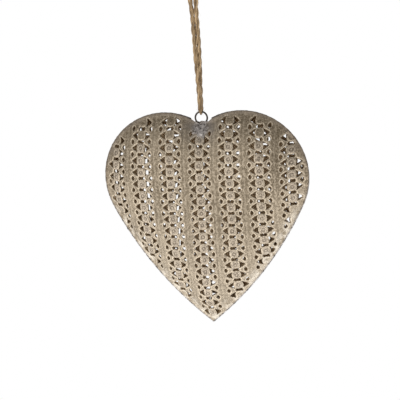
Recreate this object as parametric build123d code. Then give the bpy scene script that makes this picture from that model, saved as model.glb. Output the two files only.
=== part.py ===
from build123d import *
import os
from math import radians, sqrt, tan

os.makedirs("parts", exist_ok=True)

# A hollow heart of two domed, pierced tin sheets, soldered at the rim,
# with a wire eye in its cleft and a loop of doubled jute twine.
# Millimetres. The origin is where a nail or hook carries the loop.
# X is to the right, the front faces -Y, and Z is up.

# Heart outline, at the cut edge of the sheets
heart_width = 119.0
lobe_radius = 37.3
side_radius = 200.0
tip_drop = 86.0  # from the lobes' centres to the tip
cleft_radius = 14.0

# Sheets
sheet = 0.4
flange_width = 1.2
dome_height = 12.4  # from the rim's plane to the flat top
dome_radius = 36.0  # half the width of the elliptical round from the flange up to the flat top
dome_squash = 0.95  # the round's height as a share of its width

# Pierced pattern: upright bands of a diamond lattice, with a disc in each row
band_count = 7
band_pitch = 17.05
row_pitch = 6.82
row_shift = 5.4  # from the lobes' centres to a row of discs
stagger = 3  # every third band, from the first, is half a row higher
leaf_inner = 2.35  # a leaf is the triangle that points away from a disc
leaf_tip = 5.75
leaf_height = 3.9
drop_inner = 4.4  # a drop is the small diamond between the tips of two leaves
drop_outer = 6.3
drop_height = 2.9
waist_width = 3.6  # a waist is the diamond between two discs
waist_height = 1.9
hole_land = 0.3  # plain metal that is left beside the flange and the solder

# Solder along the rim and in the cleft
bead_width = 0.5
bead_rise = 0.15
notch_depth = 3.6
notch_angle = 50.0  # from upright to each side of the notch
solder_width = 10.0
solder_height = 8.2
solder_drop = 4.0  # from the cleft's edge to the middle of the patch
solder_rise = 0.45

# Wire eye
wire = 1.0
wire_sides = 6
eye_radius = 3.45  # at the middle of the wire
eye_sink = 2.1  # how far the eye reaches below the cleft's edge
leg_gap = 0.1
leg_length = 9.0
neck_radius = 1.2

# Jute twine
cord = 2.6
cord_sides = 6
cord_drop = 80.0  # from the nail to the top of the eye
strand_gap = 0.4
eye_clearance = 0.25
twist_height = -33.0  # where the pair of strands is free to twist
bend_share = 0.45  # of the shorter run beside a bend that its arc takes
bend_ease = 0.99  # the two arcs under the eye stay this share of the half-way round
knot_bottom = 6.0
knot_radius = 4.6
knot_waist = 3.9
knot_base = 4.0
knot_height = 6.6
knot_sides = 12
tail_length = 6.0
tail_angle = 22.0


# Centres of the arcs of the outline, in the plane of the rim, from the lobes' centres
lobe_x = heart_width / 2 - lobe_radius
lobe_centre = Vector(lobe_x, 0)
tip = Vector(0, -tip_drop)
lobe_to_tip = (lobe_centre - tip).length
toward_lobe = (lobe_centre - tip).normalized()
along = (side_radius**2 - (side_radius - lobe_radius) ** 2 + lobe_to_tip**2) / (2 * lobe_to_tip)
across = sqrt(side_radius**2 - along**2)
side_centre = tip + toward_lobe * along + Vector(-toward_lobe.Y, toward_lobe.X) * across
cleft_centre = Vector(0, sqrt((lobe_radius + cleft_radius) ** 2 - lobe_x**2))
cleft_edge = cleft_centre.Y - cleft_radius

# Places that follow from the sizes above
round_top = dome_height / dome_squash
dome_reach = sqrt(dome_radius**2 - (dome_radius - round_top) ** 2)
dome_overhang = dome_radius - dome_reach - flange_width
eye_height = cleft_edge - eye_sink + eye_radius + wire / 2
eye_top = eye_height + eye_radius
rim_plane = Plane(origin=(0, 0, -cord_drop - eye_top), x_dir=(1, 0, 0), z_dir=(0, -1, 0))
eye_centre = rim_plane.from_local_coords(Vector(0, eye_height))
notch_bottom = cleft_edge - notch_depth
solder_middle = cleft_edge - solder_drop
round_eye = wire / 2 + cord / 2 + eye_clearance
eye_bend = bend_ease * round_eye


def flip(point):
    """The point on the other side of the heart's middle line."""
    return Vector(-point.X, point.Y)


def heart(grow=0.0):
    """The heart's outline as a face, grown by an even margin."""
    saddle = lobe_centre + (cleft_centre - lobe_centre).normalized() * (lobe_radius + grow)
    shoulder = lobe_centre + (lobe_centre - side_centre).normalized() * (lobe_radius + grow)
    toe = Vector(0, side_centre.Y - sqrt((side_radius + grow) ** 2 - side_centre.X**2))
    outline = Curve() + [
        RadiusArc(flip(saddle), saddle, grow - cleft_radius),
        RadiusArc(saddle, shoulder, lobe_radius + grow),
        RadiusArc(shoulder, toe, side_radius + grow),
        RadiusArc(toe, flip(shoulder), side_radius + grow),
        RadiusArc(flip(shoulder), flip(saddle), lobe_radius + grow),
    ]
    return make_face(outline)


def dome(rise=0.0):
    """A solid dome inside the flange, grown by an even margin.

    It is the top of a deeper and wider heart whose upper edge is rounded and then squashed.
    """
    deep = 2 * dome_radius
    blank = extrude(Pos(0, 0, round_top - deep) * heart(dome_overhang + rise), deep + rise)
    rounded = fillet(blank.faces().sort_by(Axis.Z)[-1].edges(), dome_radius + rise)
    squashed = scale(rounded, by=(1, 1, dome_squash))
    return split(squashed, bisect_by=Plane.XY, keep=Keep.TOP)


def envelope(rise=0.0):
    """One side of the heart as if it were solid, with its flange, grown by an even margin."""
    flange = extrude(heart(rise), sheet + rise)
    return flange + dome(rise)


def notch():
    """The V that is cut out of both sheets at the bottom of the cleft."""
    top = lobe_radius - notch_bottom
    half = top * tan(radians(notch_angle))
    corners = [(0, notch_bottom), (half, notch_bottom + top), (-half, notch_bottom + top)]
    return extrude(make_face(Polyline(*corners, close=True)), dome_height, both=True)


def solder_print():
    """The outline of the solder on the cleft."""
    return Pos(0, solder_middle) * Ellipse(solder_width / 2, solder_height / 2)


def leaves(x, y):
    """The two holes that point away from the disc, one on each side."""
    for side in (-1, 1):
        yield [
            (x + side * leaf_inner, y - leaf_height / 2),
            (x + side * leaf_inner, y + leaf_height / 2),
            (x + side * leaf_tip, y),
        ]


def drops(x, y):
    """The two small holes at the edges of the band, between this row's leaves and the next row's."""
    between = y + row_pitch / 2
    widest = (drop_inner + drop_outer) / 2
    for side in (-1, 1):
        yield [
            (x + side * drop_inner, between),
            (x + side * widest, between - drop_height / 2),
            (x + side * drop_outer, between),
            (x + side * widest, between + drop_height / 2),
        ]


def waist(x, y):
    """The one hole between this row's disc and the next row's."""
    between = y + row_pitch / 2
    yield [
        (x - waist_width / 2, between),
        (x, between - waist_height / 2),
        (x + waist_width / 2, between),
        (x, between + waist_height / 2),
    ]


def pattern(kinds):
    """Every hole of these kinds that lies clear of the flange and of the solder, as a list of corners."""
    clear = heart(-flange_width - hole_land).face()
    patch = offset(solder_print(), hole_land).face()
    first_band = -(band_count - 1) / 2
    first_row = -int((tip_drop + row_shift) / row_pitch)
    last_row = int((lobe_radius - row_shift) / row_pitch)
    for band in range(band_count):
        x = (first_band + band) * band_pitch
        higher = 0.5 if band % stagger == 0 else 0.0
        for row in range(first_row, last_row + 1):
            y = row_shift + (row + higher) * row_pitch
            for hole in (corners for kind in kinds for corners in kind(x, y)):
                corners = [Vector(*corner) for corner in hole]
                if all(clear.is_inside(corner) and not patch.is_inside(corner) for corner in corners):
                    yield corners


def make_shell(kinds):
    """A front sheet: flange, hollow dome, notch and pierced pattern."""
    plain = envelope() - dome(-sheet) - notch()
    holes = [make_face(Polyline(*corners, close=True)) for corners in pattern(kinds)]
    return plain - [extrude(hole, 2 * dome_height) for hole in holes]


def make_eye():
    """A wire ring with a neck and two legs that reach into the hollow between the sheets."""
    leg_x = (wire + leg_gap) / 2
    neck_x = leg_x + neck_radius
    neck_y = eye_height - sqrt((eye_radius + neck_radius) ** 2 - neck_x**2)
    middle = Vector(0, eye_height)
    neck = Vector(neck_x, neck_y)
    joint = middle + (neck - middle).normalized() * eye_radius
    leg_top = Vector(leg_x, neck_y)
    leg_end = Vector(leg_x, neck_y - leg_length)
    path = Curve() + [
        Line(flip(leg_end), flip(leg_top)),
        RadiusArc(flip(leg_top), flip(joint), -neck_radius),
        ThreePointArc(flip(joint), Vector(0, eye_top), joint),
        RadiusArc(joint, leg_top, -neck_radius),
        Line(leg_top, leg_end),
    ]
    section = Plane(origin=flip(leg_end), z_dir=(0, 1, 0)) * RegularPolygon(wire / 2, wire_sides)
    return sweep(section, path=path.wire())


def make_beads():
    """The solder that caps the two flanges' edges, as a left and a right run that meet at the tip."""
    cap = extrude(heart(bead_width), sheet + bead_rise, both=True)
    run = cap - extrude(heart(), 2 * sheet, both=True) - notch()
    return split(run, bisect_by=Plane.YZ, keep=Keep.BOTTOM), split(run, bisect_by=Plane.YZ, keep=Keep.TOP)


def make_solder(eye):
    """The solder in the notch round the eye's neck, and its skin on both sheets below it."""
    half = envelope() - notch()
    skin = envelope(solder_rise)
    block = extrude(solder_print(), 2 * dome_height, both=True)
    filled = block & (skin + mirror(skin, about=Plane.XY))
    return filled - half - mirror(half, about=Plane.XY) - eye


def twine_route():
    """The twine's route from the knot, down one strand, through the eye and up the other strand."""
    beside = (cord + strand_gap) / 2
    slant = beside * sqrt(0.5)
    down = [
        (-1.4, 0, knot_bottom + 2.5),
        (-3.7, 0, knot_bottom - 3.5),
        (-3.2, 0, knot_bottom - 11.0),
        (-beside, 0, -22.0),
        (-slant, -slant, -48.0),
        (0, -beside, 9.0 - cord_drop),
        (0, -round_eye, 3.0 - cord_drop),
        (0, -round_eye, -round_eye - cord_drop),
    ]
    up = [(-x, -y, z) for x, y, z in reversed(down)]
    return [Vector(*point) for point in down + up]


def make_twine():
    """The doubled twine: the loop below the knot, and the pair of strands that holds the eye."""
    points = twine_route()
    radii = []
    for before, here, after in zip(points, points[1:], points[2:]):
        half_turn = radians((here - before).get_angle(after - here)) / 2
        shorter = min((here - before).length, (after - here).length)
        under_eye = here.Z < -cord_drop
        radii.append(eye_bend if under_eye else bend_share * shorter / tan(half_turn))
    print("twine radii", [round(radius, 1) for radius in radii])
    path = FilletPolyline(*points, radius=radii)
    section = Plane(origin=points[0], z_dir=points[1] - points[0]) * RegularPolygon(cord / 2, cord_sides)
    tube = sweep(section, path=path)
    print("twine length", round(path.length, 1), "volume", round(tube.volume, 1))
    print("section times length", round(section.area * path.length, 1))
    below_knot = split(tube, bisect_by=Plane.XY.offset(knot_bottom), keep=Keep.BOTTOM)
    at_twist = Plane.XY.offset(twist_height)
    loop = split(below_knot, bisect_by=at_twist, keep=Keep.TOP)
    pair = split(below_knot, bisect_by=at_twist, keep=Keep.BOTTOM)
    return loop, pair


def make_knot():
    """The overhand knot that closes the loop: two wraps, with the two tails standing up."""
    radii = (knot_base, knot_radius, knot_waist, knot_radius, knot_base)
    step = knot_height / (len(radii) - 1)
    rings = [Pos(0, 0, knot_bottom + i * step) * RegularPolygon(r, knot_sides) for i, r in enumerate(radii)]
    knot = loft(rings, ruled=True)
    tail = extrude(RegularPolygon(cord / 2, cord_sides), tail_length + cord)
    for side in (-1, 1):
        root = Pos(side * cord / 2, 0, knot_bottom + knot_height - cord)
        knot += root * Rot(0, side * tail_angle, 0) * tail
    return knot


back_sheet = make_shell([leaves])
eye = make_eye()
left_bead, right_bead = make_beads()
twine_loop, twine_pair = make_twine()

heart_pieces = {
    "front_shell": make_shell([leaves, drops, waist]),
    "back_shell": mirror(back_sheet, about=Plane.XY),
    "seam_bead_left": left_bead,
    "seam_bead_right": right_bead,
    "hanging_eye": eye,
    "cleft_solder": make_solder(eye),
}
pieces = {name: rim_plane * piece for name, piece in heart_pieces.items()}
pieces["twine_loop"] = twine_loop
pieces["twine_pair"] = twine_pair
pieces["twine_knot"] = make_knot()

for name, piece in pieces.items():
    export_step(piece, f"parts/{name}.step")
print("eye centre", eye_centre)
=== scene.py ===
import math

import bpy
import numpy as np
from mathutils import Matrix, Vector, geometry, kdtree


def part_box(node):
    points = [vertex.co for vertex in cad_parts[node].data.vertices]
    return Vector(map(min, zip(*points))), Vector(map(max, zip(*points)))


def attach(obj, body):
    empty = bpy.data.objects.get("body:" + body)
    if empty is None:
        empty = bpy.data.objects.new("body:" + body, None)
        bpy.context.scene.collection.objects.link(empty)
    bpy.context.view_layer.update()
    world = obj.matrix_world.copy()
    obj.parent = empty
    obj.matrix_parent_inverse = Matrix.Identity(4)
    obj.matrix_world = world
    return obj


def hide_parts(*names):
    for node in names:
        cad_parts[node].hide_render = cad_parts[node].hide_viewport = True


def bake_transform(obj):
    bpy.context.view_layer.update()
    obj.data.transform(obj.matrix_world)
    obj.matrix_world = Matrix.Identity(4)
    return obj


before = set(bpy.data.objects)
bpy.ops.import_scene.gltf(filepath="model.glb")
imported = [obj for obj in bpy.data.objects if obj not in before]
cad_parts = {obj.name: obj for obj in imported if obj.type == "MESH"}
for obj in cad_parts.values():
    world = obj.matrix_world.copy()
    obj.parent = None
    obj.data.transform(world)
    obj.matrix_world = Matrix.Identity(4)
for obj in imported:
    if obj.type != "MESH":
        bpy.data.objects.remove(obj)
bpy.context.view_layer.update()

# A puffed heart of two pierced tin sheets, soldered at the rim, that hangs by a wire eye
# from a loop of doubled jute twine. Meshes are in metres, in the frame of the solids.
# The sizes below are in millimetres, unless they say otherwise.

mm = 0.001
seed = 7
scene = bpy.context.scene
random = np.random.default_rng(seed)

# Heart, as in the solids, measured from the lobes' centres
heart_low, heart_high = (np.array(corner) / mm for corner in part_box("front_shell"))
heart_width = heart_high[0] - heart_low[0]
lobe_radius = 37.3
side_radius = 200.0
tip_drop = 86.0
cleft_radius = 14.0
lobe_z = heart_high[2] - lobe_radius
sheet = 0.4
flange_width = 1.2
dome_height = 12.4
dome_radius = 36.0
dome_squash = 0.95
slope_reach = 0.4  # over which the dome's slope is measured
notch_depth = 3.6
notch_slope = math.tan(math.radians(50))
notch_spread = 1.6  # how far out its corners may lie, as a share of its half width

# Pierced pattern: upright bands, with a disc in the middle of each row
band_count = 7
band_pitch = 17.05
row_pitch = 6.82
row_shift = 5.4
rows_below = 14
rows_above = 6
front_rows = [3.41, 0.0, 0.0, 3.41, 0.0, 0.0, 3.41]  # how much higher each band's rows are
back_rows = [5.2, 2.4, 0.8, 0.85, 2.8, 1.5, 3.4]
front_shift = 0.0  # of all the bands, to the right
back_shift = -0.35
front_shares = (1.0, 1.0, 1.0)  # size of the leaves, drops and waists
back_shares = (0.95, 0.7, 0.95)
hole_jitter = 0.06
hole_land = 0.3  # plain metal between a hole and the flange
hole_inset = 1.3  # of a hole's middle from the flange
cleft_half = 4.0  # half the width without holes below the notch
cleft_land = 3.4
disc_radius = 2.3
disc_land = 4.0

# Holes, measured from the disc's middle. A bow is a share of the side's length.
leaf_near = 2.15
leaf_far = 5.6
leaf_half = 2.1
leaf_side_bow = -0.05
leaf_base_bow = 0.12
drop_near = 4.35
drop_middle = 5.4
drop_far = 6.25
drop_half = 1.35
drop_near_bow = -0.08
drop_far_bow = -0.14
waist_end = 2.0
waist_corner = 1.4
waist_half = 1.0
waist_bow = 0.1

# Points of a sheet's mesh
edge_step = 0.8
edge_room = 0.13
point_gap = 0.17
hole_reach = 4.0
merge_distance = 1e-5
lip_lines = (0.2, 0.45, 0.75)  # outside a hole's edge
# each ring's radius and number of points
disc_rings = ((0.3, 6), (0.55, 8), (0.85, 10), (1.1, 12), (1.4, 14), (1.65, 16), (1.95, 16))
crease_lines = (-2.0, -1.1, -0.5, 0.0, 0.5, 1.1, 2.0)  # from the middle between two bands
crease_step = 1.6
grid_low = (-60, -90)
grid_high = (60, 38)
grid_step = 1.9
grid_jitter = 0.4
pull_count = 20
pull_step = 0.05

# Relief of a sheet: lips bent inwards, rings and dots on the discs, folds between the bands
lip_depth = 0.3
lip_width = 0.6
burr_depth = 0.45
burr_width = 0.3
ring_place = 1.55
ring_width = 0.26
ring_rise = 0.22
dot_width = 0.36
dot_rise = 0.26
dish_edge = (1.3, 1.9)
dish_depth = 0.1
crease_width = 1.3
crease_depth = 0.1
fold_place = -1.2
fold_width = 0.42
fold_depth = 0.07
dent_depth = 0.25
dent_across = 0.21  # radians a millimetre
dent_up = 0.17
dent_phase = 1.3
foot_blend = 1.6
sheet_sharp = 50.0  # degrees

# Zones of a sheet's paint: a pair is where the zone starts and ends to fade
rub_rise = (0.1, 0.32)  # from a hole's edge
rub_fall = (0.45, 0.8)
rub_ring = 0.8
rub_fold = 0.3
rub_fold_place = -0.3
rub_fold_width = 0.45
strip_dark = 0.3
strip_width = 1.5
moat_place = 0.95
moat_width = 0.28
fold_dark = 0.8
hole_edge = (0.0, 0.2)
disc_edge = (1.9, 2.4)
scorch_radius = 5.0
# painted shade along the upper rim, where it faces up
rim_shade_heights = (0, 14)
rim_shade_reach = (0.6, 2.2)
smear_drop = 3.5
smear_size = (9.0, 5.5)
# painted highlight along the lower rim, where light from below catches it, broken up in blotches
rim_highlight_reach = (1.0, 7.0)
rim_highlight_heights = (-35, -2)
# painted light: the heart paler towards the bottom, as if lit from below
painted_light_heights = (-76, -4)

# Solder along the rim
bead_out = 0.05
bead_step = 0.35
bead_spacing = 0.45
bead_sides = 10
bead_half_width = 0.42
bead_half_height = 0.56
bead_lumps = 0.16
bead_wave = 1.7  # radians a millimetre
bead_beat = 0.53
bead_jitter = 0.04
# painted shade: the bead browner towards the top and black near the cleft, where its top edge faces up
bead_top_shade = 0.5
bead_cleft_shade = 0.5
bead_shade_heights = (-40, 10)
bead_cleft_shade_width = 13.0

# Solder in the cleft
patch_drop = 4.0
patch_size = np.array([4.9, 4.3])
patch_rows = 18
patch_sides = 72
patch_lobes = ((3, 0.16), (5, 0.1), (9, 0.08))  # how many round its edge, and how deep
patch_rise = 0.32
patch_bumps = 0.22
patch_bump_waves = (2.1, 1.8)  # radians a millimetre
patch_jitter = 0.07
patch_sink = 0.1
patch_top = 0.2
patch_top_fall = 0.5
patch_thin = 0.22  # how brown the solder's thin edge is
patch_thin_shares = (0.5, 1.0)

# Wire eye
wire = 1.0
wire_sides = 14
eye_radius = 3.45
eye_sink = 2.1
eye_step = 0.35
leg_gap = 0.1
leg_length = 9.0
leg_points = 8
neck_radius = 1.2
neck_step = 0.25

# Twine: its route from the knot through the eye and back
cord = 2.6
route = [
    (-1.4, 0.0, 8.5),
    (-3.7, 0.0, 2.5),
    (-3.5, 0.0, -5.0),
    (-2.75, 0.0, -13.0),
    (-1.6, 0.0, -24.0),
    (-1.2, -0.35, -36.0),
    (-0.9, -0.75, -50.0),
    (0.0, -1.3, -71.0),
    (0.0, -1.65, -77.0),
    (0.0, -1.5, -81.3),
    (0.0, 1.5, -81.3),
    (0.0, 1.65, -77.0),
    (0.0, 1.3, -71.0),
    (0.9, 0.75, -50.0),
    (1.0, 0.35, -36.0),
    (0.65, 0.0, -24.0),
    (1.2, 0.0, -13.0),
    (2.3, 0.0, -5.0),
    (3.4, 0.0, 2.5),
    (1.4, 0.0, 8.5),
]
route_order = 3
route_resolution = 24
pressed_share = 0.5  # of the twine's thickness, where it bends round the eye
pressed_reach = (0.3, 4.5)

# Plies of the twine: their offset and thickness are shares of its radius
ply_pitch = 11.0
ply_step = 0.4
ply_sides = 14
ply_offset = 0.27
ply_radius = 0.77
ply_swell = 0.05
ply_swell_turn = 0.9  # radians a millimetre
ply_hollow = 0.87
ply_ridge = 0.2
streak_rings = 14
tube_sharp = 60.0  # degrees
frame_start = (0.13, 0.97, 0.2)  # a direction that no cord or wire starts along

# Stray fibres
fibre_count = 70
fibre_span = (0.02, 0.98)  # of the twine's length
fibre_clear = 6.0  # from the bight
fibre_root = 0.42  # of the twine's thickness
fibre_out = (0.25, 0.8)
fibre_along = (0.5, 1.0)
fibre_length = (1.2, 3.6)
fibre_thickness = (0.03, 0.05)
fibre_shade = (0.3, 1)
fibre_points = 6
fibre_sides = 4
fibre_bend = 0.35
fibre_taper = 0.4

# Knot: a wrap round two cores, which leave it as frayed tails
knot_bottom = 6.0
wrap_turns = 2.3
wrap_points = 120
wrap_radius = 3.0
wrap_base = 1.5
wrap_climb = 4.0
wrap_tilt = 0.9
wrap_tilt_turn = 0.8
wrap_ease = 1.4
wrap_core = 0.35
wrap_thickness = 0.98
core_points = 30
core_root = (1.35, 0.0, 0.2)  # of the right one, above the knot's bottom
core_way = (-0.2, 0.0, 6.0)
core_thickness = 0.95
tail_root = (1.2, 0.0, 5.6)
tail_way = (2.3, 0.6, 5.6)
tail_bend = (0.3, 0.0, 0.6)
tail_thin = 0.9
fray_count = 26
fray_lean = 0.35
fray_spread = 0.22
fray_room = 0.4
fray_length = (0.5, 1.5)
fray_thickness = 0.07

# Camera: where the photograph was taken from. Its distance is in metres.
photo_pixels = 400
pixel_size = 0.575 * mm
aim_height = -25.0
aim_pixel = (207.6, 219.7)
camera_azimuth = 15.0
camera_elevation = 12.0
camera_roll = 3.6
camera_distance = 0.62
camera_near = 0.01
sensor_width = 36.0

# Stage, in metres, and the strength of its light
floor_radius = 0.5
floor_height = -0.6
floor_sides = 96
light_below = 0.88
light_above = 0.24
backdrop = 1.0
white = (1, 1, 1, 1)

# Colours of the tin
patina_dark = (0.127, 0.093, 0.053)
patina_brown = (0.167, 0.127, 0.078)
patina_tan = (0.212, 0.165, 0.109)
brush_tan = (0.338, 0.27, 0.188)
# painted light: the paler tan of the heart's lower part
painted_light_tan = (0.37, 0.307, 0.228)
disc_brown = (0.2, 0.161, 0.131)
groove_brown = (0.1, 0.073, 0.04)
bare_tin = (0.64, 0.54, 0.41)
dust_tan = (0.46, 0.385, 0.285)
speck_brown = (0.09, 0.066, 0.04)
# painted highlight: the pale tin of the lower rim
rim_highlight_tin = (0.66, 0.6, 0.51)
smear_grey = (0.235, 0.208, 0.184)
# scorching at the cleft, and painted shade along the upper rim
scorch_and_shade_brown = (0.11, 0.088, 0.068)
lining_dark = (0.3, 0.205, 0.11)
lining_pale = (0.46, 0.33, 0.19)

# Colours of the solder, the wire and the jute
solder_dark = (0.19, 0.168, 0.154)
solder_grey = (0.29, 0.264, 0.248)
solder_pale = (0.66, 0.61, 0.57)
pit_black = (0.045, 0.036, 0.03)
# browns for solder that is scorched thin, and for the painted shade on the rim's bead; the black is painted
# shade only
scorch_shade_dark = (0.1, 0.076, 0.053)
scorch_shade_pale = (0.19, 0.15, 0.108)
cleft_shade_black = (0.022, 0.017, 0.013)
wire_dark = (0.03, 0.025, 0.021)
wire_brown = (0.075, 0.063, 0.051)
wire_worn = (0.17, 0.148, 0.125)
jute_dark = (0.085, 0.05, 0.021)
jute_brown = (0.235, 0.152, 0.072)
jute_straw = (0.54, 0.385, 0.22)

# Places that follow from the sizes
lobe_x = heart_width / 2 - lobe_radius
lobe_centre = np.array([lobe_x, 0.0])
tip = np.array([0.0, -tip_drop])
lobe_to_tip = np.linalg.norm(lobe_centre - tip)
toward_lobe = (lobe_centre - tip) / lobe_to_tip
along_side = (side_radius**2 - (side_radius - lobe_radius) ** 2 + lobe_to_tip**2) / (2 * lobe_to_tip)
across_side = math.sqrt(side_radius**2 - along_side**2)
side_centre = tip + toward_lobe * along_side + np.array([-toward_lobe[1], toward_lobe[0]]) * across_side
cleft_centre = np.array([0.0, math.sqrt((lobe_radius + cleft_radius) ** 2 - lobe_x**2)])
cleft_edge = cleft_centre[1] - cleft_radius
notch_bottom = cleft_edge - notch_depth
eye_height = cleft_edge - eye_sink + eye_radius + wire / 2
round_top = dome_height / dome_squash
dome_reach = math.sqrt(dome_radius**2 - (dome_radius - round_top) ** 2)
aim = Vector((0, 0, (lobe_z + aim_height) * mm))


def add_object(name, data):
    obj = bpy.data.objects.new(name, data)
    scene.collection.objects.link(obj)
    return obj


def smooth_step(low, high, values):
    """Rises softly from 0 to 1 between low and high."""
    share = np.clip((values - low) / (high - low), 0, 1)
    return share * share * (3 - 2 * share)


def bell(values, width):
    """Falls softly from 1 at nought to almost 0 at twice the width."""
    return np.exp(-((values / width) ** 2))


def unit(vectors):
    return vectors / np.linalg.norm(vectors, axis=-1, keepdims=True)


def circle_angles(count):
    return np.arange(count) * 2 * math.pi / count


# Outline of the heart


def heading(vector):
    return math.atan2(vector[1], vector[0])


shoulder = heading(lobe_centre - side_centre)
saddle = heading(cleft_centre - lobe_centre)


def arc(centre, radius, start, end, step):
    """Points along an arc, without its last one."""
    count = max(2, int(abs(end - start) * radius / step))
    angles = np.linspace(start, end, count, endpoint=False)
    return centre + radius * np.stack([np.cos(angles), np.sin(angles)], axis=1)


def outline(grow, step):
    """The heart's outline, grown by a margin, counter-clockwise from the tip."""
    reach = side_radius + grow
    toe = -math.acos(-side_centre[0] / reach)
    right = np.vstack([
        arc(side_centre, reach, toe, shoulder, step),
        arc(lobe_centre, lobe_radius + grow, shoulder, saddle, step),
        arc(cleft_centre, cleft_radius - grow, saddle - math.pi, -math.pi / 2, step),
    ])
    bottom_of_cleft = cleft_centre - [0, cleft_radius - grow]
    left = right[:0:-1] * [-1, 1]
    return np.vstack([right, bottom_of_cleft, left])


def notched(loop):
    """The outline with the V of the notch cut into its cleft."""
    from_middle = np.abs(loop[:, 0])
    cut = from_middle < (loop[:, 1] - notch_bottom) * notch_slope
    cut &= from_middle < notch_depth * notch_slope * notch_spread
    cut &= loop[:, 1] > 0
    first = np.argmax(cut)
    last = len(cut) - 1 - np.argmax(cut[::-1])
    return np.vstack([loop[:first], [[0, notch_bottom]], loop[last + 1:]])


def inset(points):
    """How far each point lies inside the heart's outline."""
    folded = np.stack([np.abs(points[:, 0]), points[:, 1]], axis=1)
    depths = []
    for centre, radius, start, end, sign in (
        (side_centre, side_radius, -math.pi, shoulder, 1),
        (lobe_centre, lobe_radius, shoulder, saddle, 1),
        (cleft_centre, cleft_radius, -math.pi, saddle - math.pi, -1),
    ):
        away = folded - centre
        angle = np.arctan2(away[:, 1], away[:, 0])
        depth = sign * (radius - np.linalg.norm(away, axis=1))
        depths.append(np.where((angle >= start) & (angle <= end), depth, np.inf))
    return np.min(depths, axis=0)


def dome(points):
    """The height of the front sheet's outside above the rim's plane."""
    from_top = np.clip(dome_reach + flange_width - inset(points), 0, dome_radius)
    rounded = dome_squash * (round_top - dome_radius + np.sqrt(dome_radius**2 - from_top**2))
    return np.maximum(sheet, rounded)


def dome_normal(points):
    """Unit normals of the front sheet, as x and y in the rim's plane and a height."""
    right, up = [slope_reach, 0], [0, slope_reach]
    slope_x = (dome(points + right) - dome(points - right)) / (2 * slope_reach)
    slope_y = (dome(points + up) - dome(points - up)) / (2 * slope_reach)
    return unit(np.stack([-slope_x, -slope_y, np.ones(len(points))], axis=1))


def on_surface(points):
    """Points of the rim's plane lifted to the outside of the front sheet."""
    return np.stack([points[:, 0], points[:, 1], dome(points)], axis=1)


def in_world(points, side):
    """From the rim's plane and a height above it to metres. Side -1 is the front and 1 the back."""
    return np.stack([points[:, 0], side * points[:, 2], points[:, 1] + lobe_z], axis=1) * mm


def in_rim_plane(path):
    return np.stack([path[:, 0], np.zeros(len(path)), path[:, 1] + lobe_z], axis=1)


# Holes of the pattern


def bowed(start, end, bow, count):
    """Points from start towards end along a side that bows to its left by a share of its length."""
    start, end = np.array(start), np.array(end)
    share = np.linspace(0, 1, count, endpoint=False)[:, None]
    left = np.array([start[1] - end[1], end[0] - start[0]])
    return start + (end - start) * share + left * bow * 4 * share * (1 - share)


def leaf(side):
    """The hole beside a disc that points away from it."""
    low, high, point = (leaf_near, -leaf_half), (leaf_near, leaf_half), (leaf_far, 0)
    loop = np.vstack([
        bowed(low, point, leaf_side_bow, count=5),
        bowed(point, high, leaf_side_bow, count=5),
        bowed(high, low, leaf_base_bow, count=6),
    ])
    return loop * [side, 1]


def drop(side):
    """The small hole at the band's edge, between the tips of two leaves."""
    near, far = (drop_near, 0), (drop_far, 0)
    low, high = (drop_middle, -drop_half), (drop_middle, drop_half)
    loop = np.vstack([
        bowed(near, low, drop_near_bow, count=4),
        bowed(low, far, drop_far_bow, count=4),
        bowed(far, high, drop_far_bow, count=4),
        bowed(high, near, drop_near_bow, count=4),
    ])
    return loop * [side, 1] + [0, row_pitch / 2]


def waist():
    left, right = (-waist_corner, -waist_half), (waist_corner, -waist_half)
    lower = np.vstack([
        bowed((-waist_end, 0), left, 0, count=2),
        bowed(left, right, waist_bow, count=6),
        bowed(right, (waist_end, 0), 0, count=2),
    ])
    return np.vstack([lower, -lower]) + [0, row_pitch / 2]


def scaled(loop, share):
    middle = loop.mean(axis=0)
    return middle + (loop - middle) * share


def inside(points, loop):
    """Which points lie in a closed loop."""
    after = np.roll(loop, -1, axis=0)
    x, y = points[:, 0][:, None], points[:, 1][:, None]
    spans = (loop[:, 1] > y) != (after[:, 1] > y)
    rise = np.where(after[:, 1] == loop[:, 1], 1, after[:, 1] - loop[:, 1])
    crossing = loop[:, 0] + (y - loop[:, 1]) * (after[:, 0] - loop[:, 0]) / rise
    return (spans & (x < crossing)).sum(axis=1) % 2 == 1


def pulled_in(loop):
    """The loop with each point that is too near the rim drawn back towards the loop's middle."""
    share = np.ones((len(loop), 1))
    for _ in range(pull_count):
        near = inset(scaled(loop, share)) < flange_width + hole_land
        share[near] -= pull_step
    return scaled(loop, share)


def has_room(loop):
    """Whether a hole lies on the dome and clear of the notch."""
    on_dome = inset(loop.mean(axis=0)[None])[0] > flange_width + hole_inset
    in_cleft = (np.abs(loop[:, 0]) < cleft_half) & (loop[:, 1] > notch_bottom - cleft_land)
    return on_dome and not in_cleft.any()


def pattern(rows, shift, shares):
    """Hole loops and disc centres that lie on the dome and clear of the notch."""
    leaf_share, drop_share, waist_share = shares
    kinds = [scaled(leaf(side), leaf_share) for side in (-1, 1)]
    kinds += [scaled(drop(side), drop_share) for side in (-1, 1)]
    kinds.append(scaled(waist(), waist_share))
    holes, discs = [], []
    for band in range(band_count):
        x = (band - (band_count - 1) / 2) * band_pitch + shift
        for row in range(-rows_below, rows_above + 1):
            centre = np.array([x, row_shift + rows[band] + row * row_pitch])
            for kind in kinds:
                loop = kind + centre + random.normal(0, hole_jitter, 2)
                if has_room(loop):
                    holes.append(pulled_in(loop))
            if inset(centre[None])[0] > flange_width + disc_radius and centre[1] < notch_bottom - disc_land:
                discs.append(centre)
    return holes, discs


# Sheets


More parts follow.
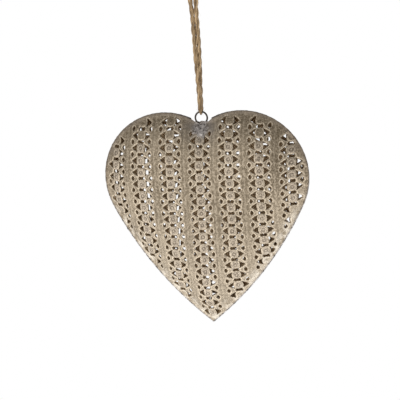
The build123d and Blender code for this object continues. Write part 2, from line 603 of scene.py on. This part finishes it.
def make_mesh(name, verts, faces, attributes, sharp=None):
    """An object from vertices in metres and faces, smooth, with named values on its points."""
    mesh = bpy.data.meshes.new(name)
    mesh.from_pydata([tuple(v) for v in verts], [], faces)
    mesh.polygons.foreach_set("use_smooth", np.ones(len(mesh.polygons), bool))
    for key, values in attributes.items():
        layer = mesh.attributes.new(key, "FLOAT", "POINT")
        layer.data.foreach_set("value", np.asarray(values, np.float32))
    if sharp:
        mesh.set_sharp_from_angle(angle=math.radians(sharp))
    mesh.validate()
    mesh.update()
    return add_object(name, mesh)


def ring(centre, radius, count):
    angles = circle_angles(count)
    return centre + radius * np.stack([np.cos(angles), np.sin(angles)], axis=1)


def around_hole(loop):
    """Lines of points round a hole, outside its edge."""
    along = np.roll(loop, -1, axis=0) - np.roll(loop, 1, axis=0)
    outward = unit(np.stack([along[:, 1], -along[:, 0]], axis=1))
    outward *= np.sign(((loop - loop.mean(axis=0)) * outward).sum(axis=1).sum())
    return [loop + outward * distance for distance in lip_lines]


def sheet_points(holes, discs, edge):
    """Points that carry the sheet's relief: round holes, on discs, along creases and between."""
    points = []
    for loop in holes:
        points += around_hole(loop)
    for centre in discs:
        points.append(centre[None])
        points += [ring(centre, radius, count) for radius, count in disc_rings]
    heights = np.arange(-tip_drop, lobe_radius, crease_step)
    for strip in range(band_count + 1):
        x = (strip - band_count / 2) * band_pitch
        for offset in crease_lines:
            points.append(np.stack([np.full(len(heights), x + offset), heights], axis=1))
    columns, rows = (np.arange(low, high, grid_step) for low, high in zip(grid_low, grid_high))
    grid = np.stack(np.meshgrid(columns, rows), axis=-1).reshape(-1, 2)
    points.append(grid + random.uniform(-grid_jitter, grid_jitter, grid.shape))
    points = np.vstack(points)
    return points[inside(points, edge)]


def nearest(points, targets):
    tree = kdtree.KDTree(len(targets))
    for index, target in enumerate(targets):
        tree.insert((target[0], target[1], 0), index)
    tree.balance()
    return np.array([tree.find((p[0], p[1], 0))[2] for p in points])


def spread(points, gap):
    """The points that are left when none is nearer than the gap to an earlier one."""
    cells, kept = {}, []
    for point in points:
        cell = (int(point[0] // gap), int(point[1] // gap))
        around = [cells.get((cell[0] + i, cell[1] + j), ()) for i in (-1, 0, 1) for j in (-1, 0, 1)]
        if all((point[0] - q[0]) ** 2 + (point[1] - q[1]) ** 2 > gap * gap for near in around for q in near):
            cells.setdefault(cell, []).append(point)
            kept.append(point)
    return np.array(kept)


def edge_samples(holes):
    dense = []
    for loop in holes:
        after = np.roll(loop, -1, axis=0)
        for share in (0.0, 0.25, 0.5, 0.75):
            dense.append(loop + (after - loop) * share)
    return np.vstack(dense)


def free_points(holes, discs, edge, foot_line):
    """Points for the relief that keep off the holes, the outline and each other."""
    free = sheet_points(holes, discs, foot_line)
    lines = np.vstack([edge_samples(holes), edge, foot_line])
    free = free[nearest(free, lines) > edge_room]
    for loop in holes:
        near = np.abs(free - loop.mean(axis=0)).max(axis=1) < hole_reach
        in_hole = np.zeros(len(free), bool)
        in_hole[near] = inside(free[near], loop)
        free = free[~in_hole]
    return spread(free, point_gap)


def loop_sides(loops):
    """The sides of all the loops, as pairs of point numbers."""
    sides, start = [], 0
    for loop in loops:
        count = len(loop)
        sides += [(start + i, start + (i + 1) % count) for i in range(count)]
        start += count
    return sides


def pierced(holes, discs):
    """The sheet laid flat: its points, and the triangles that are left round the holes."""
    edge = notched(outline(0, edge_step))
    foot_line = notched(outline(-flange_width, edge_step))
    loops = [edge, foot_line] + holes
    points = np.vstack(loops + [free_points(holes, discs, edge, foot_line)])
    result = geometry.delaunay_2d_cdt([Vector(p) for p in points], loop_sides(loops), [], 0, merge_distance)
    flat = np.array([tuple(v) for v in result[0]])
    triangles = np.array(result[2])
    middles = flat[triangles].mean(axis=1)
    keep = inside(middles, edge)
    for loop in holes:
        low, high = loop.min(axis=0), loop.max(axis=0)
        near = ((middles > low) & (middles < high)).all(axis=1)
        keep[near] &= ~inside(middles[near], loop)
    return flat, triangles[keep]


class Pressing:
    """A pierced sheet laid flat, with each point's distance from what is pressed into it."""

    def __init__(self, rows, shift, shares):
        holes, discs = pattern(rows, shift, shares)
        self.flat, self.triangles = pierced(holes, discs)
        self.y = self.flat[:, 1]
        self.from_lip = nearest(self.flat, edge_samples(holes))
        self.from_disc = nearest(self.flat, np.array(discs))
        self.from_rim = inset(self.flat)
        bands = (self.flat[:, 0] - shift) / band_pitch
        self.crease = ((bands + 0.5 * (band_count % 2) + 0.5) % 1 - 0.5) * band_pitch
        self.fold = bell(self.crease - fold_place, fold_width)
        self.disc_ring = bell(self.from_disc - ring_place, ring_width)
        self.disc_dot = bell(self.from_disc, dot_width)
        self.on_dome = smooth_step(0.0, foot_blend, self.from_rim - flange_width)

    def relief(self, side):
        lips = -lip_depth * (1 - smooth_step(0, lip_width, self.from_lip))
        discs = ring_rise * self.disc_ring + dot_rise * self.disc_dot
        discs -= dish_depth * (1 - smooth_step(*dish_edge, self.from_disc))
        creases = -crease_depth * bell(self.crease, crease_width) - fold_depth * self.fold
        x, y = self.flat.T
        dents = dent_depth * np.sin(x * dent_across + dent_phase) * np.sin(y * dent_up + side)
        return (lips + discs + creases + dents) * self.on_dome

    def rubbed(self):
        """Where the patina is rubbed off: round the holes, on the discs and beside the folds."""
        lips = smooth_step(*rub_rise, self.from_lip) * (1 - smooth_step(*rub_fall, self.from_lip))
        beside_fold = rub_fold * bell(self.crease - rub_fold_place, rub_fold_width)
        return np.max([lips, rub_ring * self.disc_ring, self.disc_dot, beside_fold], axis=0)

    def grooved(self):
        """Where dark patina gathers: in the strips and folds, on the discs and at the holes' edges."""
        strips = strip_dark * bell(self.crease, strip_width)
        moats = bell(self.from_disc - moat_place, moat_width)
        hole_edges = 1 - smooth_step(*hole_edge, self.from_lip)
        return np.max([strips, moats, hole_edges, fold_dark * self.fold], axis=0) * self.on_dome

    def scorch_and_shade(self):
        """Where the sheet is darkened: scorched by the soldering iron at the cleft, and a painted shade
        along the upper rim, where it faces up.
        """
        cleft = bell(np.linalg.norm(self.flat - [0, cleft_edge], axis=1), scorch_radius)
        upper_rim_shade = smooth_step(*rim_shade_heights, self.y) * (1 - smooth_step(*rim_shade_reach, self.from_rim))
        return np.maximum(cleft, upper_rim_shade)

    def tinned(self):
        from_cleft = (self.flat - [0, cleft_edge - smear_drop]) / smear_size
        return bell(np.linalg.norm(from_cleft, axis=1), 1.0)

    # painted highlight: near the rim, on the heart's lower part
    def rim_highlight(self):
        return (1 - smooth_step(*rim_highlight_reach, self.from_rim)) * (1 - smooth_step(*rim_highlight_heights, self.y))

    def values(self):
        """Named values for the paint, on the outside and on the lining."""
        outside = {
            "rub": self.rubbed(),
            "groove": self.grooved(),
            "disc": 1 - smooth_step(*disc_edge, self.from_disc),
            # scorching at the cleft, and painted shade along the upper rim
            "scorch_and_shade": self.scorch_and_shade(),
            # painted highlight along the lower rim
            "rim_highlight": self.rim_highlight(),
            # painted light: paler towards the bottom
            "painted_light_below": 1 - smooth_step(*painted_light_heights, self.y),
            "tinned": self.tinned(),
        }
        zeros = np.zeros(len(self.flat))
        values = {key: np.concatenate([value, zeros]) for key, value in outside.items()}
        values["lining"] = np.concatenate([zeros, zeros + 1])
        return values


def sheet_faces(triangles, count):
    """Faces of the outside, the lining and the walls between them."""
    directed = {}
    for a, b, c in triangles:
        for pair in ((a, b), (b, c), (c, a)):
            directed[pair] = True
    walls = [(b, a, a + count, b + count) for a, b in directed if (b, a) not in directed]
    faces = triangles.tolist() + (triangles[:, ::-1] + count).tolist() + walls
    return [tuple(face) for face in faces]


def make_sheet(name, side, rows, shift, shares):
    """A domed, pierced sheet with lips bent in round its holes, embossed discs and creased strips."""
    pressing = Pressing(rows, shift, shares)
    flat = pressing.flat
    normal = dome_normal(flat)
    outer = on_surface(flat) + normal * pressing.relief(side)[:, None]
    burr = burr_depth * (1 - smooth_step(0, burr_width, pressing.from_lip))
    inner = outer - normal * (sheet + burr)[:, None]
    verts = np.vstack([in_world(layer, side) for layer in (outer, inner)])
    faces = sheet_faces(pressing.triangles[:, ::-side], len(flat))
    return make_mesh(name, verts, faces, pressing.values(), sharp=sheet_sharp)


# Tubes and twine


def frames(line):
    """Two normals along a line, turning as little as they can."""
    tangents = unit(np.gradient(line, axis=0))
    normals = [unit(np.cross(tangents[0], frame_start))]
    for tangent in tangents[1:]:
        normals.append(unit(normals[-1] - tangent * normals[-1].dot(tangent)))
    normals = np.array(normals)
    return normals, np.cross(tangents, normals)


def tube_faces(rings, sides, start):
    """Faces of a tube with closed ends, whose points are numbered from start."""
    faces = []
    for i in range(rings - 1):
        for j in range(sides):
            a = start + i * sides + j
            b = start + i * sides + (j + 1) % sides
            faces.append((a, b, b + sides, a + sides))
    faces.append(tuple(start + j for j in reversed(range(sides))))
    faces.append(tuple(start + (rings - 1) * sides + j for j in range(sides)))
    return faces


class Build:
    """Gathers tubes into one mesh."""

    def __init__(self):
        self.verts, self.faces, self.values, self.count = [], [], [], 0

    def tube(self, rings, value=0.0):
        """Adds rings of points, indexed by ring, point and axis, with a value on each point."""
        rows, sides = rings.shape[:2]
        self.verts.append(rings.reshape(-1, 3))
        self.values.append(np.broadcast_to(value, (rows, sides)).reshape(-1))
        self.faces += tube_faces(rows, sides, self.count)
        self.count += rows * sides

    def done(self, name, material):
        verts = np.vstack(self.verts) * mm
        obj = make_mesh(name, verts, self.faces, {"streak": np.concatenate(self.values)}, sharp=tube_sharp)
        obj.data.materials.append(material)
        return obj


def resample(line, step):
    """Points at an even step along a line, and how far along it each one is."""
    lengths = np.concatenate([[0], np.cumsum(np.linalg.norm(np.diff(line, axis=0), axis=1))])
    places = np.linspace(0, lengths[-1], max(3, int(lengths[-1] / step)))
    return np.stack([np.interp(places, lengths, line[:, k]) for k in range(3)], axis=1), places


def streaks(rings, sides):
    """Values from 0 to 1 that run along the rings in streaks and differ from side to side."""
    coarse = random.uniform(0, 1, (max(4, rings // streak_rings), sides))
    places = np.linspace(0, len(coarse) - 1, rings)
    return np.stack([np.interp(places, np.arange(len(coarse)), coarse[:, j]) for j in range(sides)], axis=1)


def round_tube(line, radius, sides):
    normals, across = frames(line)
    angles = circle_angles(sides)[None, :, None]
    circle = normals[:, None] * np.cos(angles) + across[:, None] * np.sin(angles)
    return line[:, None] + circle * np.broadcast_to(radius, (len(line), sides))[..., None]


def add_twine(build, line, radius, turn=0.0):
    """Two plies that wind round the line, each of fibres that lie along it."""
    line, places = resample(line, ply_step)
    radius = np.interp(places, np.linspace(0, places[-1], len(radius)), radius)
    normals, across = frames(line)
    for ply in (0, 1):
        angle = (2 * math.pi * places / ply_pitch + ply * math.pi + turn)[:, None]
        offset = normals * np.cos(angle) + across * np.sin(angle)
        middle = line + offset * (ply_offset * radius)[:, None]
        fibre = streaks(len(line), ply_sides)
        swell = 1 + ply_swell * np.sin(places * ply_swell_turn + ply)
        thick = (radius * ply_radius * swell)[:, None] * (ply_hollow + ply_ridge * fibre)
        build.tube(round_tube(middle, thick, ply_sides), fibre)


def add_fibre(build, root, way, length, thickness):
    side = unit(random.normal(0, 1, 3))
    share = np.linspace(0, 1, fibre_points)[:, None]
    line = root + way * length * share + side * length * fibre_bend * share**2
    radius = np.linspace(thickness, thickness * fibre_taper, fibre_points)[:, None]
    build.tube(round_tube(line, radius, fibre_sides), random.uniform(*fibre_shade))


def nurbs_line(name, points):
    """Points read from a smooth open spline along a route."""
    curve = bpy.data.curves.new(name, "CURVE")
    curve.dimensions = "3D"
    curve.resolution_u = route_resolution
    spline = curve.splines.new("NURBS")
    spline.points.add(len(points) - 1)
    for control, point in zip(spline.points, points):
        control.co = (*(np.array(point) * mm), 1)
    spline.order_u = route_order
    spline.use_endpoint_u = True
    holder = add_object(name, curve)
    bpy.context.view_layer.update()
    mesh = bpy.data.meshes.new_from_object(holder)
    smooth = np.array([tuple(v.co) for v in mesh.vertices]) / mm
    bpy.data.objects.remove(holder)
    bpy.data.curves.remove(curve)
    bpy.data.meshes.remove(mesh)
    return smooth


def make_twine(line, from_bight, material):
    """The doubled twine, pressed thin where it bends round the eye."""
    pressed = smooth_step(*pressed_reach, from_bight)
    build = Build()
    add_twine(build, line, cord / 2 * (pressed_share + (1 - pressed_share) * pressed))
    return build.done("jute_twine", material)


def make_fibres(line, from_bight, material):
    """Stray fibres along the twine, clear of the eye."""
    build = Build()
    for place in random.uniform(*fibre_span, fibre_count):
        index = int(place * (len(line) - 1))
        if from_bight[index] < fibre_clear:
            continue
        tangent = unit(line[min(index + 1, len(line) - 1)] - line[index - 1])
        out = unit(np.cross(tangent, random.normal(0, 1, 3)))
        way = out * random.uniform(*fibre_out)
        way = way + tangent * random.choice([-1, 1]) * random.uniform(*fibre_along)
        root = line[index] + out * cord * fibre_root
        add_fibre(build, root, unit(way), random.uniform(*fibre_length), random.uniform(*fibre_thickness))
    return build.done("twine_fibres", material)


def knot_wrap():
    """The strand that winds round the knot's cores, with its ends tucked in."""
    turns = np.linspace(0, 2 * math.pi * wrap_turns, wrap_points)
    climb = wrap_climb * turns / turns[-1] + wrap_tilt * np.cos(turns + wrap_tilt_turn)
    wrap = np.stack([
        wrap_radius * np.cos(turns),
        wrap_radius * np.sin(turns),
        knot_bottom + wrap_base + climb,
    ], axis=1)
    outward = smooth_step(0, wrap_ease, turns) * smooth_step(0, wrap_ease, turns[::-1])
    wrap[:, :2] *= (wrap_core + (1 - wrap_core) * outward)[:, None]
    return wrap


def make_knot(material):
    """The overhand knot that closes the loop, with two frayed tails."""
    build = Build()
    wrap = knot_wrap()
    add_twine(build, wrap, np.full(len(wrap), cord / 2 * wrap_thickness))
    share = np.linspace(0, 1, core_points)[:, None]
    for side in (-1, 1):
        mirrored = np.array([side, side, 1])
        core = mirrored * core_root + [0, 0, knot_bottom] + share * (mirrored * core_way)
        add_twine(build, core, np.full(len(core), cord / 2 * core_thickness), turn=side)
        root = mirrored * tail_root + [0, 0, knot_bottom]
        tail = root + share * (mirrored * tail_way) + share**2 * (mirrored * tail_bend)
        add_twine(build, tail, np.linspace(cord / 2, cord / 2 * tail_thin, len(tail)), turn=side)
        for _ in range(fray_count):
            way = np.array([side * fray_lean, 0, 1]) + random.normal(0, fray_spread, 3)
            start = tail[-2] + random.normal(0, fray_room, 3)
            add_fibre(build, start, unit(way), random.uniform(*fray_length), fray_thickness)
    return build.done("twine_knot_tied", material)


# Solder and wire


def make_bead(name, run, material):
    """A lumpy run of solder along the rim, with a painted shade that makes it browner towards the top and
    black near the cleft, where its top edge faces up.
    """
    middle, places = resample(in_rim_plane(run), bead_spacing)
    tangents = unit(np.gradient(middle, axis=0))
    outward = np.cross(tangents, [0, -1, 0]) * -1
    waves = np.sin(places * bead_wave) * np.sin(places * bead_beat + 1)
    lump = (1 + bead_lumps * waves + random.normal(0, bead_jitter, len(places)))[:, None]
    angles = circle_angles(bead_sides)
    out = (np.cos(angles) * bead_half_width * lump)[..., None]
    across = (np.sin(angles) * bead_half_height * lump)[..., None]
    rings = middle[:, None] + outward[:, None] * out + np.array([0, 1, 0]) * across
    # painted shade: browner up the heart, black near the cleft
    high = smooth_step(*bead_shade_heights, middle[:, 2] - lobe_z)
    scorch_and_shade = bead_top_shade * high + bead_cleft_shade * high * bell(middle[:, 0], bead_cleft_shade_width)
    build = Build()
    build.tube(rings[:, ::-1], scorch_and_shade[:, None])
    return build.done(name, material)


def make_beads(material):
    """The two runs of solder, from the tip to the notch on the right and on the left."""
    rim = notched(outline(bead_out, bead_step))
    notch = int(np.argmin(np.abs(rim - [0, notch_bottom]).sum(axis=1)))
    runs = {"rim_solder_right": rim[:notch], "rim_solder_left": np.vstack([rim[notch + 1:], rim[:1]])}
    return {name: make_bead(name, run, material) for name, run in runs.items()}


def make_eye(material):
    """A wire ring with a neck and two legs that reach into the hollow between the sheets."""
    leg_x = (wire + leg_gap) / 2
    neck_x = leg_x + neck_radius
    neck_y = eye_height - math.sqrt((eye_radius + neck_radius) ** 2 - neck_x**2)
    neck_heading = heading(np.array([neck_x, neck_y - eye_height]))
    middle = np.array([0.0, eye_height])
    around = arc(middle, eye_radius, neck_heading, math.pi - neck_heading, eye_step)
    neck = arc(np.array([neck_x, neck_y]), neck_radius, math.pi, neck_heading + math.pi, neck_step)
    leg_heights = np.linspace(neck_y - leg_length, neck_y, leg_points, endpoint=False)
    leg = np.stack([np.full(leg_points, leg_x), leg_heights], axis=1)
    right_half = np.vstack([leg, neck])
    path = np.vstack([right_half, around, (right_half * [-1, 1])[::-1]])
    build = Build()
    build.tube(round_tube(in_rim_plane(path), np.full((len(path), 1), wire / 2), wire_sides))
    return build.done("wire_eye", material)


def patch_layers(side):
    """The outside and the underside of the solder on one sheet, and how brown its thin edge is."""
    share = np.linspace(0, 1, patch_rows)
    angles = circle_angles(patch_sides)
    wobble = np.ones(patch_sides)
    for (lobes, depth), phase in zip(patch_lobes, (side, 2, 0)):
        wobble += depth * np.sin(lobes * angles + phase)
    flat = np.stack([
        np.outer(share, np.cos(angles) * wobble * patch_size[0]).ravel(),
        np.outer(share, np.sin(angles) * wobble * patch_size[1]).ravel(),
    ], axis=1) + [0.0, cleft_edge - patch_drop]
    top = cleft_edge + patch_top - patch_top_fall * np.abs(flat[:, 0]) / patch_size[0]
    flat[:, 1] = np.minimum(flat[:, 1], top)
    x, y = flat.T * np.array(patch_bump_waves)[:, None]
    bumps = patch_bumps * np.sin(x) * np.sin(y + side) + random.normal(0, patch_jitter, len(flat))
    rise = (patch_rise + bumps) * np.repeat(1 - share**2, patch_sides)
    scorch_and_shade = np.repeat(patch_thin * smooth_step(*patch_thin_shares, share), patch_sides)
    base, normal = on_surface(flat), dome_normal(flat)
    return base + normal * rise[:, None], base - normal * patch_sink, scorch_and_shade


def patch_faces(start, side):
    """Faces of the solder on one sheet: outside, underside and the wall round them."""
    total = patch_rows * patch_sides
    faces = []
    for i in range(patch_rows):
        for j in range(patch_sides):
            a = start + i * patch_sides + j
            b = start + i * patch_sides + (j + 1) % patch_sides
            if i < patch_rows - 1:
                quad = (a, a + patch_sides, b + patch_sides, b)
                under = tuple(v + total for v in quad)
                faces += [quad[::-side], under[::side]]
            else:
                faces.append((a, a + total, b + total, b)[::-side])
    return faces


def make_patch(material):
    """The solder in the cleft: a lumpy skin on each sheet."""
    verts, faces, scorch_and_shade = [], [], []
    for side in (-1, 1):
        faces += patch_faces(sum(len(v) for v in verts), side)
        outside, underside, values = patch_layers(side)
        verts += [in_world(outside, side), in_world(underside, side)]
        scorch_and_shade += [values, values]
    patch = make_mesh("cleft_solder_lump", np.vstack(verts), faces, {"streak": np.concatenate(scorch_and_shade)})
    patch.data.materials.append(material)
    return patch


# Materials


class Paint:
    """A node material with one principled shader."""

    def __init__(self, name, **sockets):
        self.material = bpy.data.materials.new(name)
        self.material.use_nodes = True
        self.nodes = self.material.node_tree.nodes
        self.links = self.material.node_tree.links
        self.shader = self.nodes["Principled BSDF"]
        for socket, value in sockets.items():
            self.set(socket.replace("_", " "), value)

    def add(self, kind, inputs=None, **settings):
        node = self.nodes.new("ShaderNode" + kind)
        for key, value in settings.items():
            setattr(node, key, value)
        for key, value in (inputs or {}).items():
            self.put(node.inputs[key], value)
        return node

    def put(self, socket, value):
        """Links another socket to this one, or gives it a value."""
        if isinstance(value, bpy.types.NodeSocket):
            self.links.new(value, socket)
        else:
            socket.default_value = value

    def set(self, socket, value):
        self.put(self.shader.inputs[socket], value)

    def value(self, key):
        return self.add("Attribute", attribute_name=key).outputs["Fac"]

    def share(self, key, amount):
        """A named value of the mesh, times an amount or a texture."""
        return self.math("MULTIPLY", self.value(key), amount)

    def noise(self, scale, detail, stretch=(1, 1, 1)):
        """A cloudy texture in the object's own space."""
        place = self.add("TexCoord").outputs["Object"]
        scaled_place = self.add("Mapping", {"Vector": place, "Scale": stretch}).outputs["Vector"]
        texture = self.add("TexNoise", {"Vector": scaled_place, "Scale": scale, "Detail": detail})
        return texture.outputs["Fac"]

    def ramp(self, factor, *stops):
        """Colours along a factor, as pairs of place and colour."""
        node = self.add("ValToRGB", {"Fac": factor})
        elements = node.color_ramp.elements
        while len(elements) < len(stops):
            elements.new(0.5)
        for element, (place, colour) in zip(elements, stops):
            element.position = place
            element.color = (*colour, 1)
        return node.outputs["Color"]

    def fade(self, factor, *stops):
        """Shares along a factor, as pairs of place and share."""
        return self.ramp(factor, *((place, (share,) * 3) for place, share in stops))

    def mix(self, factor, first, second):
        node = self.add("Mix", data_type="RGBA")
        self.put(node.inputs[0], factor)
        for socket, colour in ((node.inputs[6], first), (node.inputs[7], second)):
            self.put(socket, colour if isinstance(colour, bpy.types.NodeSocket) else (*colour, 1))
        return node.outputs[2]

    def math(self, operation, first, second):
        node = self.add("Math", operation=operation)
        self.put(node.inputs[0], first)
        self.put(node.inputs[1], second)
        return node.outputs[0]

    def bump(self, height, strength, distance):
        node = self.add("Bump", {"Height": height, "Strength": strength, "Distance": distance})
        self.set("Normal", node.outputs["Normal"])


def antique_tin():
    """Tin with a brown-grey patina, rubbed paler on the ridges, and brown inside. Painted light makes its
    lower part paler, a painted highlight lies in blotches along the lower rim, and a painted shade lies
    along the upper rim, beside the scorching at the cleft.
    """
    paint = Paint("antique_tin", Metallic=0.35)
    cloud = paint.noise(scale=55, detail=5)
    blotch = paint.noise(scale=260, detail=4)
    grain = paint.noise(scale=1500, detail=3, stretch=(1, 1, 0.5))
    brush = paint.noise(scale=900, detail=4, stretch=(0.25, 1, 1.6))
    colour = paint.ramp(cloud, (0.3, patina_dark), (0.5, patina_brown), (0.72, patina_tan))
    colour = paint.mix(paint.fade(brush, (0.42, 0), (0.62, 0.6)), colour, brush_tan)
    # painted light: the lower part mixed towards a paler tan
    colour = paint.mix(paint.share("painted_light_below", 0.8), colour, painted_light_tan)
    colour = paint.mix(paint.share("disc", 0.75), colour, disc_brown)
    colour = paint.mix(paint.share("groove", 0.65), colour, groove_brown)
    wear = paint.share("rub", paint.fade(grain, (0.28, 0.5), (0.58, 1)))
    colour = paint.mix(wear, colour, bare_tin)
    colour = paint.mix(paint.fade(grain, (0.5, 0), (0.68, 0.6)), colour, dust_tan)
    colour = paint.mix(paint.fade(grain, (0.34, 0.6), (0.5, 0)), colour, speck_brown)
    # painted highlight: paler blotches along the lower rim
    rim_glint = paint.share("rim_highlight", paint.fade(blotch, (0.42, 0), (0.6, 0.7)))
    colour = paint.mix(rim_glint, colour, rim_highlight_tin)
    smear = paint.share("tinned", paint.fade(blotch, (0.35, 0.4), (0.6, 1)))
    colour = paint.mix(smear, colour, smear_grey)
    # scorching at the cleft, and painted shade along the upper rim
    scorch_shade_mix = paint.share("scorch_and_shade", paint.fade(blotch, (0.3, 0.85), (0.7, 0.45)))
    colour = paint.mix(scorch_shade_mix, colour, scorch_and_shade_brown)
    lining = paint.ramp(cloud, (0.3, lining_dark), (0.7, lining_pale))
    paint.set("Base Color", paint.mix(paint.value("lining"), colour, lining))
    paint.set("Roughness", paint.fade(grain, (0.2, 0.45), (0.8, 0.65)))
    paint.bump(grain, strength=0.4, distance=0.0002)
    return paint.material


def dull_solder():
    """Grey solder, pitted and a little uneven in colour, browned where it is thin, with a painted shade that
    browns and blackens the rim's bead towards the top and the cleft.
    """
    paint = Paint("dull_solder", Metallic=0.35)
    cloud = paint.noise(scale=420, detail=5)
    pits = paint.noise(scale=800, detail=2)
    scorch_and_shade = paint.value("streak")
    colour = paint.ramp(cloud, (0.3, solder_dark), (0.5, solder_grey), (0.72, solder_pale))
    colour = paint.mix(paint.fade(pits, (0.36, 1), (0.42, 0)), colour, pit_black)
    # on the rim's bead these browns and the black are painted shade towards the top and the cleft
    brown = paint.ramp(cloud, (0.3, scorch_shade_dark), (0.7, scorch_shade_pale))
    colour = paint.mix(paint.fade(scorch_and_shade, (0.0, 0), (0.5, 1)), colour, brown)
    colour = paint.mix(paint.fade(scorch_and_shade, (0.5, 0), (1.0, 1)), colour, cleft_shade_black)
    paint.set("Base Color", colour)
    paint.set("Roughness", paint.fade(cloud, (0.3, 0.6), (0.7, 0.35)))
    paint.bump(cloud, strength=0.7, distance=0.0005)
    return paint.material


def dark_wire():
    """Iron wire with a dark skin that is rubbed through in places."""
    paint = Paint("dark_wire", Metallic=0.7)
    cloud = paint.noise(scale=700, detail=4)
    paint.set("Base Color", paint.ramp(cloud, (0.35, wire_dark), (0.6, wire_brown), (0.75, wire_worn)))
    paint.set("Roughness", paint.fade(cloud, (0.3, 0.55), (0.75, 0.32)))
    paint.bump(cloud, strength=0.3, distance=0.0001)
    return paint.material


def jute():
    """Bast fibre, straw-coloured and brown, with the fibres' streaks from the mesh."""
    paint = Paint("jute", Roughness=0.85, Sheen_Weight=0.05, Sheen_Roughness=0.6)
    fine = paint.noise(scale=2600, detail=3)
    streak = paint.math("ADD", paint.share("streak", 0.7), paint.math("MULTIPLY", fine, 0.3))
    paint.set("Base Color", paint.ramp(streak, (0.2, jute_dark), (0.5, jute_brown), (0.85, jute_straw)))
    paint.bump(fine, strength=0.5, distance=0.0002)
    return paint.material


def pale_floor():
    paint = Paint("pale_floor", Roughness=0.8)
    cloud = paint.noise(scale=9, detail=2)
    paint.set("Base Color", paint.fade(cloud, (0.3, 0.8), (0.7, 0.84)))
    return paint.material


# Camera, stage and light


def place_camera():
    turn, lift, roll = (math.radians(a) for a in (camera_azimuth, camera_elevation, camera_roll))
    back = Vector((math.sin(turn) * math.cos(lift), -math.cos(turn) * math.cos(lift), math.sin(lift)))
    level = Vector((math.cos(turn), math.sin(turn), 0))
    upright = back.cross(level)
    right = level * math.cos(roll) - upright * math.sin(roll)
    above = level * math.sin(roll) + upright * math.cos(roll)
    from_centre = (aim_pixel[0] - photo_pixels / 2, photo_pixels / 2 - aim_pixel[1])
    target = aim - right * from_centre[0] * pixel_size - above * from_centre[1] * pixel_size
    data = bpy.data.cameras.new("camera")
    data.sensor_width = sensor_width
    data.lens = sensor_width * camera_distance / (photo_pixels * pixel_size)
    data.clip_start = camera_near
    camera = add_object("camera", data)
    axes = Matrix((right, above, back)).transposed().to_4x4()
    camera.matrix_world = Matrix.Translation(target + back * camera_distance) @ axes
    scene.camera = camera


def make_floor():
    data = bpy.data.meshes.new("floor")
    edge = ring(np.zeros(2), floor_radius, floor_sides)
    data.from_pydata([(x, y, floor_height) for x, y in edge], [], [tuple(range(floor_sides))])
    data.materials.append(pale_floor())
    return add_object("floor", data)


def light_room():
    """A white room that is brighter below than above, and plain white to the camera."""
    world = bpy.data.worlds.new("studio")
    scene.world = world
    world.use_nodes = True
    nodes, links = world.node_tree.nodes, world.node_tree.links
    surround = nodes["Background"]
    surround.inputs["Color"].default_value = white
    direction = nodes.new("ShaderNodeTexCoord")
    parts = nodes.new("ShaderNodeSeparateXYZ")
    links.new(direction.outputs["Generated"], parts.inputs[0])
    fade = nodes.new("ShaderNodeMapRange")
    for key, value in (("From Min", -1), ("From Max", 1), ("To Min", light_below), ("To Max", light_above)):
        fade.inputs[key].default_value = value
    links.new(parts.outputs["Z"], fade.inputs["Value"])
    links.new(fade.outputs[0], surround.inputs["Strength"])
    seen = nodes.new("ShaderNodeBackground")
    seen.inputs["Color"].default_value = white
    seen.inputs["Strength"].default_value = backdrop
    rays = nodes.new("ShaderNodeLightPath")
    choose = nodes.new("ShaderNodeMixShader")
    links.new(rays.outputs["Is Camera Ray"], choose.inputs[0])
    links.new(surround.outputs[0], choose.inputs[1])
    links.new(seen.outputs[0], choose.inputs[2])
    links.new(choose.outputs[0], nodes["World Output"].inputs["Surface"])


def softbox(name, place, size, power):
    """A round lamp that faces the heart. Metres and watts."""
    light = bpy.data.lights.new(name, "AREA")
    light.shape = "DISK"
    light.size = size
    light.energy = power
    lamp = add_object(name, light)
    lamp.location = place
    lamp.rotation_euler = (aim - Vector(place)).to_track_quat("-Z", "Y").to_euler()


# The pieces, in the order of their random draws

place_camera()

line = nurbs_line("twine_route", route)
length = np.linalg.norm(np.diff(line, axis=0), axis=1).sum()
from_bight = np.abs(np.linspace(-1, 1, len(line))) * length / 2
jute_material = jute()
twine = make_twine(line, from_bight, jute_material)
fibres = make_fibres(line, from_bight, jute_material)
knot = make_knot(jute_material)

tin = antique_tin()
front_sheet = make_sheet("front_sheet", -1, front_rows, front_shift, front_shares)
back_sheet = make_sheet("back_sheet", 1, back_rows, back_shift, back_shares)
for piece in (front_sheet, back_sheet):
    piece.data.materials.append(tin)

solder_material = dull_solder()
beads = make_beads(solder_material)
wire_eye = make_eye(dark_wire())
patch = make_patch(solder_material)

floor = make_floor()
light_room()
softbox("key", place=(0.03, -0.25, -0.45), size=0.3, power=0.6)
softbox("left", place=(-0.45, -0.25, -0.35), size=0.4, power=1.6)
softbox("right", place=(0.45, -0.25, -0.4), size=0.4, power=1.6)
softbox("fill", place=(-0.4, -0.85, 0.3), size=0.6, power=4)
softbox("rear", place=(0.5, 0.9, 0.2), size=0.8, power=5)
scene.view_settings.view_transform = "Standard"

# What carries each piece

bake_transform(twine)
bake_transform(fibres)
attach(knot, "hanging_loop")
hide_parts("twine_loop", "twine_pair")
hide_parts("twine_knot")
on_heart = {
    front_sheet: ("front_shell", "antique_tin"),
    back_sheet: ("back_shell", "antique_tin"),
    beads["rim_solder_left"]: ("seam_bead_left", "solder"),
    beads["rim_solder_right"]: ("seam_bead_right", "solder"),
    patch: ("cleft_solder", "solder"),
    wire_eye: ("hanging_eye", "iron_wire"),
}
for piece, (node, slot) in on_heart.items():
    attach(piece, "heart")
    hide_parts(node)
